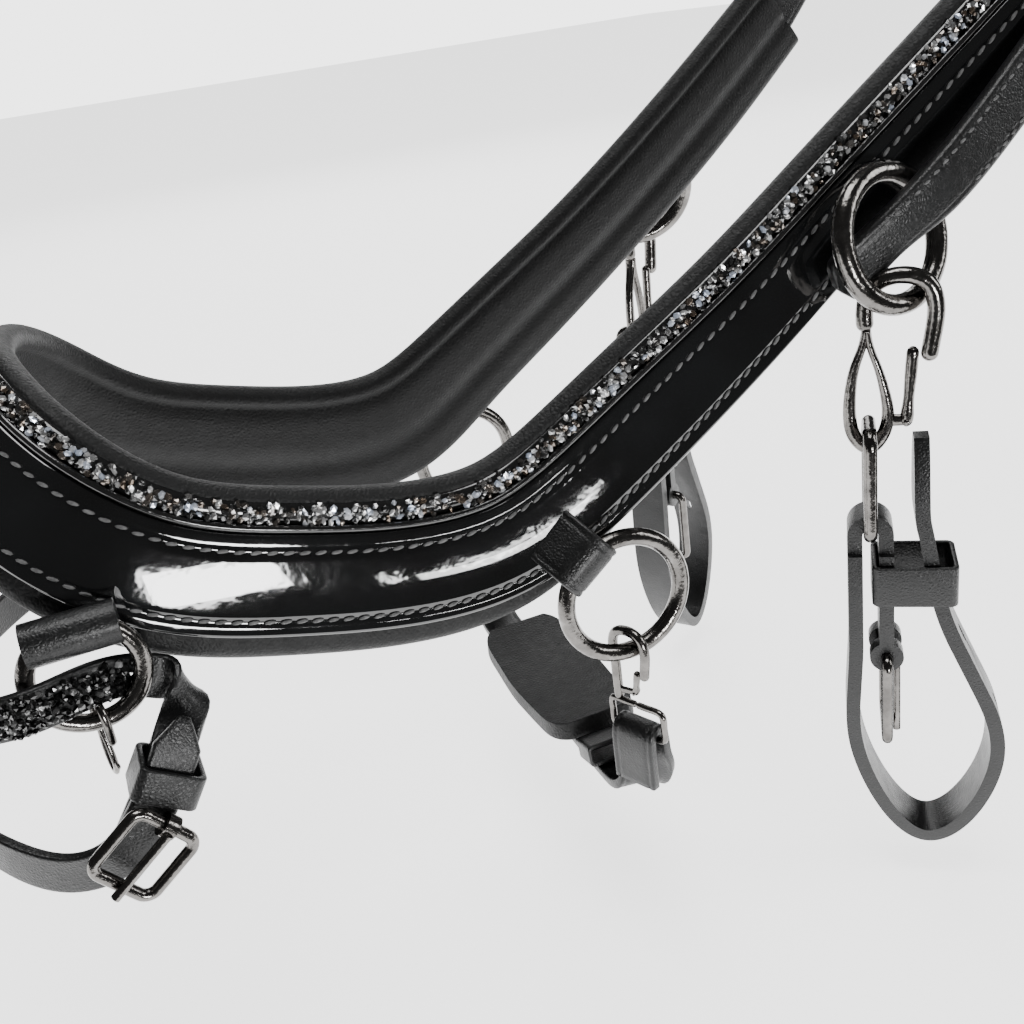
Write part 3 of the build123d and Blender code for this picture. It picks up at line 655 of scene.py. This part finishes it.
bed = loft("crystal_bed", band, bed_profile, PIPING)
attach(bed, "headstall")
band_stones = stones(
    "noseband_stones", band, lambda i: half(i) + STRIP_BASE + 0.0004,
    lambda i: half(i) + STRIP_BASE + STRIP_WIDE - 0.0004,
    0.0013, "headstall", SILVER_STONES, "silver_crystals",
)
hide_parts("noseband_crystals")

# the front of the nose has a second row of crystals below the panel
FRONT_REACH = 0.047
middle = len(band) // 2
reach = 0
while reach < middle and np.linalg.norm(band.place[middle + reach] - band.place[middle]) < FRONT_REACH:
    reach += 1
front_stones = stones(
    "front_stones", band, lambda i: -half(i) - 0.0040, lambda i: -half(i) - 0.0008, 0.0011, "headstall",
    SILVER_STONES, "silver_crystals", first=middle - reach, last=middle + reach + 1, Seed=7,
)
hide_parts("front_crystals")

stitches("panel_stitches", [
    line_on(band, lambda i: half(i) - UPPER_STITCH, PANEL_THICK - 0.00012, 3, len(band) - 3),
    line_on(band, lambda i: -half(i) + LOWER_STITCH, PANEL_THICK - 0.00012, 3, len(band) - 3),
], "headstall", Pitch=0.0034, Length=0.0027, Width=0.00085)


# ---------------------------------------------------------------- straps

def soften(node, name, body, material, width):
    """A copy of a CAD strap with its corners rounded."""
    bm = bmesh.new()
    bm.from_mesh(nodes[node].data)
    bmesh.ops.remove_doubles(bm, verts=bm.verts, dist=2e-6)
    bmesh.ops.dissolve_limit(bm, angle_limit=radians(1.2), verts=bm.verts, edges=bm.edges)
    sharp = [e for e in bm.edges if len(e.link_faces) == 2 and e.calc_face_angle(0) > radians(50)]
    bmesh.ops.bevel(
        bm, geom=sharp, offset=width, segments=3, profile=0.6, affect="EDGES", clamp_overlap=True,
    )
    bmesh.ops.triangulate(bm, faces=bm.faces)
    mesh = bpy.data.meshes.new(name)
    bm.to_mesh(mesh)
    bm.free()
    mesh.materials.append(material)
    mesh.polygons.foreach_set("use_smooth", [True] * len(mesh.polygons))
    mesh.set_sharp_from_angle(angle=radians(40))
    piece = bpy.data.objects.new(name, mesh)
    bpy.context.scene.collection.objects.link(piece)
    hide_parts(node)
    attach(piece, body)
    return piece


def rounded(width, thick):
    """A small strap's section for every station."""
    return lambda i: strap_profile(width, thick, (width / 2 - 0.0016, -width / 2 + 0.0016), edge=0.0006)


def leather(name, strip, profile, node, body, material=STRAP):
    """A lofted piece that rides the body and, where a node is given, stands for it."""
    piece = loft(name, strip, profile, material)
    if node:
        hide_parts(node)
    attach(piece, body)
    return piece


def folded(place, along, across, leaving, radius, steps=6):
    """Stations of a strap that folds flat over itself and leaves in the given direction."""
    along = unit(along)
    leaving = unit(leaving)
    across = unit(across - along * (across @ along))
    crease = unit(along + leaving)
    level = crease * (along @ crease)
    turning = along - level
    travel = radius * MM / np.linalg.norm(turning)
    stations = []
    for k in range(steps + 1):
        angle = pi * k / steps
        curl = turning * sin(angle) + np.cross(crease, turning) * (1 - cos(angle))
        spot = place + travel * (level * angle + curl)
        flat = crease * (across @ crease)
        side = flat + (across - flat) * cos(angle) + np.cross(crease, across - flat) * sin(angle)
        stations.append((spot, side, ()))
    return stations


UP = np.array([0.0, 0.0, 1.0])

# the flash strap: buckle end, near fold, crystal run round the nose, far fold, plain run, billet
FLASH_WIDE = 0.0094
FLASH_THICK = 0.0022
FLASH_STEP = 0.0012
near_fold = folded(at(-103, -53.2, 12.9), np.array([0.92, -0.14, -0.36]), np.array([0.36, 0, 0.93]),
                   np.array([-0.55, -0.10, -0.83]), 2.4)
upper_half = [
    (at(-156, 0, 15.5), UP, ()),
    (at(-151, -36, 16.5), UP, ()),
    (at(-139, -58.0, 18.2), UP, ()),
    (at(-127, -61.9, 19.6), UP, ()),
    (at(-117, -57.8, 19.0), np.array([0.1, 0, 1]), ()),
    (at(-109, -53.6, 16.0), np.array([0.3, 0, 0.95]), ()),
]


def mirrored(stations):
    return [(flip(place), flip(side), extras) for place, side, extras in stations]


buckle_side = np.array([-0.83, 0, 0.55])
buckle_end = [
    (at(-118.5, -67.2, -14), buckle_side, ()),
    (at(-112, -64.8, -6.0), buckle_side, ()),
    (at(-106, -61.8, 1.8), buckle_side, ()),
]
billet = [
    (at(-103.5, 62.0, 4.0), np.array([-0.5, 0, 0.8]), ()),
    (at(-112, 64.8, 0.5), np.array([-0.2, 0, 1]), ()),
    (at(-130, 64.0, -4.5), UP, ()),
    (at(-150, 45, -8.0), UP, ()),
    (at(-162, 0, -9.5), UP, ()),
    (at(-154, -40, -9.5), UP, ()),
    (at(-143, -59.5, -11), UP, ()),
    (at(-131, -68.6, -14.5), np.array([-0.15, 0, 1]), ()),
    (at(-120.5, -72.0, -11.8), np.array([-0.6, 0, 0.8]), ()),
    (at(-112, -71.6, -3.6), np.array([-0.76, 0, 0.65]), ()),
    (at(-105.5, -69.8, 5.0), np.array([-0.85, 0, 0.5]), ()),
    (at(-101.8, -67.4, 11.0), np.array([-0.9, 0, 0.45]), ()),
]
flash = Strip(buckle_end + near_fold[::-1] + upper_half[::-1] + mirrored(upper_half)[1:]
              + mirrored(near_fold) + billet, step=FLASH_STEP)


def flash_profile(i):
    """Narrows to the billet's tip."""
    left_over = (len(flash) - 1 - i) * FLASH_STEP
    narrow = min(1.0, 0.25 + left_over / 0.008)
    return strap_profile(FLASH_WIDE * narrow, FLASH_THICK, edge=0.0006)


leather("flash_strap_leather", flash, flash_profile, "flash_strap", "flash_assembly")
crossing = [i for i in range(len(flash)) if flash.place[i][2] > at(0, 0, 14.6)[2]]
crossing_stones = stones(
    "flash_stones", flash, lambda i: 0.0040, lambda i: -0.0040, 0.0013, "flash_assembly",
    BLACK_STONES, "black_crystals", first=min(crossing) + 2, last=max(crossing) - 2, level_sign=-1,
    Smallest=0.0005, Largest=0.00105, Seed=17,
)
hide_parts("flash_crystals")

# sewn tabs that hold the chin rings
CHIN_CENTRE = {"near": at(0, -57.2, -0.5), "far": at(0, 57.2, -0.5)}
tab_out = np.array([cos(radians(128)), 0, sin(radians(128))])
TAB_PATH = [(27, 9.6), (22.5, 7.9), (18.6, 4.4), (15, 3.4), (12.6, 2.4), (11.6, 0), (12.6, -2.4), (15, -3.4),
            (18.2, -2.5), (21.2, 0.8), (24.2, 5.0), (28, 7.6)]
for side in SIDES:
    outward = np.array([0, 1.0, 0]) * (1 if side == "near" else -1)
    wide = np.cross(tab_out, outward)
    path = [(CHIN_CENTRE[side] + tab_out * r * MM + outward * y * MM, wide, ()) for r, y in TAB_PATH]
    leather(f"chin_tab_{side}_leather", Strip(path, step=0.0008), rounded(0.0138, 0.0021),
            f"chin_tab_{side}", "headstall")

# the chin strap loops round both hooks' rails and crosses under the jaw
CHIN_HOOK_TURN = -65
CHIN_HOOK_SIZE = 0.62
CHIN_HOOK_DROP = 14.1      # from the chin ring's middle to the hook's origin
chin_along = np.array([cos(radians(CHIN_HOOK_TURN)), sin(radians(CHIN_HOOK_TURN)), 0])
chin_out = np.cross(chin_along, UP)
rail = CHIN_CENTRE["near"] - UP * (CHIN_HOOK_DROP + 41.0 * CHIN_HOOK_SIZE) * MM
CHIN_LOOP = [(2.9, -13), (2.8, -6), (2.5, 0), (1.7, 2.1), (0, 2.7), (-1.7, 2.1), (-2.6, 0), (-3.2, -6)]
chin_half = [(rail + chin_out * x * MM + UP * z * MM, chin_along, ()) for x, z in CHIN_LOOP]
chin_half += [
    (rail + chin_out * -3.0 * MM + UP * -12.5 * MM + np.array([0, 0.0008, 0]),
     np.array([0.75, -0.66, 0]), ()),
    (rail + np.array([0.0006, 0.0046, -0.0176]), np.array([0.95, -0.3, 0]), ()),
    (at(0, -45, -60.2), np.array([1.0, -0.08, 0]), ()),
    (at(0, -25, -60.4), np.array([1.0, 0, 0]), ()),
    (at(0, 0, -60.6), np.array([1.0, 0, 0]), ()),
]
chin = Strip(chin_half + mirrored(chin_half)[-2::-1], step=0.0012)
leather("chin_strap_leather", chin, rounded(0.0124, 0.0026), "chin_strap", "chin_assembly")

# cheekpieces, with a rounded sewn end inside the ring
CHEEK_ROUTE = [
    (61.5, -57.2, 59.8), (68.5, -59.2, 65.3), (74, -60.8, 69.5), (85, -62.6, 78), (100, -62.0, 89.5),
    (113, -61.0, 100.5), (126, -61.4, 113), (147, -64.5, 136), (171, -69.0, 164),
]
CHEEK_STEP = 0.0012
HOOK_FOOT = at(74.34, -64.81, 54.91)       # the bit hook's origin
for side in SIDES:
    points = [at(*spot) if side == "near" else flip(at(*spot)) for spot in CHEEK_ROUTE]
    face_out = np.array([0, -1.0 if side == "near" else 1.0, 0.05])
    stations = []
    for k, point in enumerate(points):
        run = points[min(k + 1, len(points) - 1)] - points[max(k - 1, 0)]
        stations.append((point, np.cross(run, face_out) * (1 if side == "near" else -1), ()))
    cheek = Strip(stations, step=CHEEK_STEP)
    hook_foot = HOOK_FOOT if side == "near" else flip(HOOK_FOOT)

    def cheek_profile(i, cheek=cheek, hook_foot=hook_foot):
        """Round at the sewn end, and drawn in where the snap hook hangs below it."""
        from_end = i * CHEEK_STEP
        taper = min(1.0, (1 - max(0.0, 1 - from_end / 0.006) ** 2) ** 0.5 + 0.15)
        section = strap_profile(0.0130 * taper, 0.0038, (0.0046, -0.0046), crown=0.0004, edge=0.0011)
        near_hook = np.exp(-(np.linalg.norm(cheek.place[i] - hook_foot - UP * 0.012) / 0.011) ** 2)
        low = -1 if cheek.across[i][2] > 0 else 1
        return [(x - low * near_hook * 0.0026 * max(0.0, low * x / 0.0065), y) for x, y in section]

    leather(f"cheek_strap_{side}_leather", cheek, cheek_profile, f"cheek_strap_{side}", "headstall")
    top = 0.0020 if cheek.out[9][1] * face_out[1] > 0 else -0.0020
    lower = -0.0047 if cheek.across[20][2] > 0 else 0.0047
    stitches(f"cheek_stitches_{side}", [
        line_on(cheek, -lower, top, 14, 60),
        line_on(cheek, lower, top, 32, 60),    # starts above the hook's notch
    ], "headstall", Pitch=0.0030, Length=0.0019, Width=0.0007)


# ---------------------------------------------------------------- snap hooks

def wire(name, rows, across, body, node=None, turn_over=False):
    """A smooth wire with rounded ends; rows give place, half width and half depth along across."""
    step = 0.0005
    if turn_over:
        rows = [(flip(place), sizes) for place, sizes in rows]
        across = flip(across)
    strip = Strip([(place, across, sizes) for place, sizes in rows], step=step)

    def section(i):
        wide, deep = strip.extras[i]
        reach = min(1.0, (min(i, len(strip) - 1 - i) + 0.3) * step / min(wide, deep))
        shrink = (1 - (1 - reach) ** 2) ** 0.5
        turns = np.linspace(0, 2 * pi, 16, endpoint=False)
        return [(deep * shrink * cos(t), wide * shrink * sin(t)) for t in turns]

    return leather(name, strip, section, node, body, METAL)


CROOK = [
    (5.3, -14.0), (6.2, -8.0), (6.8, -1.3), (4.8, 4.5), (-1.0, 6.6), (-6.8, 4.5), (-8.8, -1.3), (-8.6, -6.0),
]
CHIN_STEM = [(-8.6, -17.0), (-8.6, -27.0)]
# the long eye: place, half width and half depth of its blade
TEARDROP = [
    (-8.5, -5.0, 1.0, 1.9), (-9.3, -9.5, 1.0, 1.6), (-11.0, -14.5, 1.15, 1.4), (-12.2, -21.0, 1.4, 1.4),
    (-12.4, -28.0, 1.6, 1.4), (-10.8, -33.3, 1.7, 1.4), (-8.0, -35.3, 1.75, 1.4), (-5.3, -33.0, 1.65, 1.4),
    (-3.7, -28.3, 1.5, 1.4), (-4.4, -21.0, 1.2, 1.4), (-6.1, -14.5, 0.95, 1.4), (-7.7, -9.5, 0.9, 1.6),
    (-8.3, -5.0, 0.9, 1.9),
]
# half of the chin hook's slotted eye
SLOT = [(0, -27.5), (6, -27.5), (10.3, -27.5), (12.1, -28.2), (12.8, -30), (12.8, -34.2), (12.8, -38.5),
        (12.1, -40.3), (10.3, -41), (5, -41), (0, -41)]


def snap_hook(kind, side, origin, turn, size, gate):
    """The crook, eye and lug, and for all but the flash hook the pin and gate; gate gives the lug's root, the
    hinge and the gate's top.
    """
    over = side == "far"
    reach = np.array([cos(radians(turn)), sin(radians(turn)), 0])
    normal = np.cross(reach, UP)
    hook = f"{kind}_hook_{side}"

    def put(x, y, z=0.0):
        return origin + (reach * x + UP * y + normal * z) * size * MM

    def rod(name, rows, body, node=None, across=normal):
        sized = [(put(*row[:2]), tuple(r * size * MM for r in row[2:])) for row in rows]
        return wire(name, sized, across, body, node, over)

    stem = CHIN_STEM if kind == "chin" else []
    rod(f"{hook}_crook", [(x, y, 2.0, 2.0) for x, y in CROOK + stem], body_of[hook], hook)
    if kind == "chin":
        loop = SLOT + [(-x, y) for x, y in SLOT[-2::-1]]
        rod(f"{hook}_slot", [(x, y, 1.4, 1.4) for x, y in loop], body_of[hook])
    else:
        rod(f"{hook}_eye", TEARDROP, body_of[hook])
    root, hinge, top = gate
    between = ((root[0] + hinge[0]) / 2, (root[1] + hinge[1]) / 2)
    lug = [(*root, 1.6, 0.9), (*between, 1.5, 0.9), (hinge[0] + 0.8, hinge[1], 1.4, 0.9)]
    rod(f"{hook}_lug", lug, body_of[hook])
    if kind == "flash":
        return
    pin = [(put(*hinge, z), (0.8 * size * MM,) * 2) for z in (-2.1, 0, 2.1)]
    wire(f"{hook}_pin", pin, UP, body_of[hook], None, over)
    lean = np.array(top) - np.array(hinge)
    steps = ((-0.09, 1.1, 1.2), (0.0, 1.5, 1.55), (0.22, 1.35, 1.5), (0.6, 1.4, 1.4), (1.05, 1.4, 1.4))
    rows = [(*(np.array(hinge) + lean * t), wide, deep) for t, wide, deep in steps]
    rod(f"{kind}_gate_{side}_rod", rows, body_of[f"{kind}_gate_{side}"], f"{kind}_gate_{side}")


body_of = {}
for body, members in frame["record"]["behaviour"]["bodies"].items():
    for node in members:
        body_of[node] = body

# the lug's root, the hinge and the gate's top
TEARDROP_GATE = ((-3.4, -28.5), (0.6, -28.6), (1.9, -11.4))
SLOT_GATE = ((-8, -22.6), (0.4, -21.4), (2, -11.8))
chin_hook_origin = CHIN_CENTRE["near"] - UP * CHIN_HOOK_DROP * MM
for side in SIDES:
    snap_hook("bit", side, HOOK_FOOT, -36, 1.0, TEARDROP_GATE)
    snap_hook("chin", side, chin_hook_origin, CHIN_HOOK_TURN, CHIN_HOOK_SIZE, SLOT_GATE)
    snap_hook("flash", side, at(-117.5, -57.5, 21.5 - 9.7), -72, 0.45, TEARDROP_GATE)

softened = ["crown_strap", "throat_strap", "throat_keeper", "browband", "chin_keeper", "flash_keeper"]
for side in SIDES:
    softened += [f"{kind}_{side}" for kind in ("cheek_keeper", "bit_strap", "bit_keeper", "flash_tab")]
for node in softened:
    hide = PATENT if node == "browband" else STRAP
    edge = 0.0005 if "keeper" in node else 0.0008
    soften(node, f"{node}_leather", body_of[node], hide, edge)
for node in ("crown_padding", "chin_pad"):
    pad = soften(node, f"{node}_cover", body_of[node], LINING, 0.0018)

metal_words = ("ring", "hook", "gate", "link", "buckle", "tongue")
for name, item in nodes.items():
    if any(word in name for word in metal_words):
        for spot in item.material_slots:
            spot.material = METAL
brow_bed = bpy.data.objects.new("browband_stones", nodes["browband_crystals"].data.copy())
bpy.context.scene.collection.objects.link(brow_bed)
brow_stones = grow(brow_bed, SCATTER, "browband_stones", SILVER_STONES, Seed=23)
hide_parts("browband_crystals")
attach(brow_stones, "headstall")


# ---------------------------------------------------------------- light, floor and camera

def plain(name, level, rough, glow):
    f = Finish(name)
    f.feed("Base Color", f.ramp(f.noise(3.0), [(0.3, grey(level * 0.985)), (0.7, grey(level))]))
    f.shader.inputs["Roughness"].default_value = rough
    f.shader.inputs["Emission Color"].default_value = grey(1.0)
    f.shader.inputs["Emission Strength"].default_value = glow
    return f.material


FLOOR_GAP = 0.012
SKY_LIT = 0.06             # what lights the object
SKY_SEEN = 3.6             # what the background shows, matched to the floor
floor_level = cad_box[0][2] - FLOOR_GAP
bm = bmesh.new()
bmesh.ops.create_grid(bm, x_segments=1, y_segments=1, size=6.0)
bmesh.ops.translate(bm, verts=bm.verts, vec=(0, 5.75, floor_level))
floor = finish_mesh("floor", bm, plain("floor_paper", 0.93, 0.8, 2.2))


def softbox(name, place, target, width, height, power):
    data = bpy.data.lights.new(name, "AREA")
    data.shape = "RECTANGLE"
    data.size = width
    data.size_y = height
    data.energy = power
    light = bpy.data.objects.new(name, data)
    bpy.context.scene.collection.objects.link(light)
    aim = (Vector(target) - Vector(place)).to_track_quat("-Z", "Y")
    light.matrix_world = Matrix.Translation(place) @ aim.to_matrix().to_4x4()
    return light


nose_side = tuple(at(-85, -50, 25))
softbox("front_box", (-0.34, -1.24, -0.405), nose_side, 0.30, 0.19, 8.0)
softbox("corner_box", (-0.045, -1.19, -0.555), nose_side, 0.06, 0.035, 0.25)
softbox("top_box", (-0.4, -0.1, 1.5), (-0.25, 0, -0.3), 1.2, 0.8, 22.0)
softbox("back_box", (0.2, 1.6, 0.7), (-0.2, 0, -0.3), 1.6, 1.0, 16.0)
softbox("rear_box", (1.2, -0.9, 0.4), tuple(at(80, -55, 40)), 0.5, 0.9, 10.0)

world = bpy.data.worlds.new("studio")
world.use_nodes = True
bpy.context.scene.world = world
world_tree = world.node_tree
sky = world_tree.nodes["Background"]
rays = world_tree.nodes.new("ShaderNodeLightPath")
lit = world_tree.nodes.new("ShaderNodeMix")
lit.data_type = "RGBA"
world_tree.links.new(rays.outputs["Is Camera Ray"], lit.inputs["Factor"])
lit.inputs[6].default_value = grey(SKY_LIT)
lit.inputs[7].default_value = grey(SKY_SEEN)
world_tree.links.new(lit.outputs[2], sky.inputs["Color"])

eye = Vector((-0.39266, -0.26648, -0.19217))
right = Vector((0.9197, -0.3665, -0.1410))
lift = Vector((0.2726, 0.3374, 0.9010))
ahead = Vector((0.2827, 0.8671, -0.4102))
camera_data = bpy.data.cameras.new("camera")
camera_data.lens = 38.67
camera_data.sensor_width = 36.0
camera_data.clip_start = 0.01
camera = bpy.data.objects.new("camera", camera_data)
bpy.context.scene.collection.objects.link(camera)
camera.matrix_world = Matrix.Translation(eye) @ Matrix((right, lift, -ahead)).transposed().to_4x4()
bpy.context.scene.camera = camera
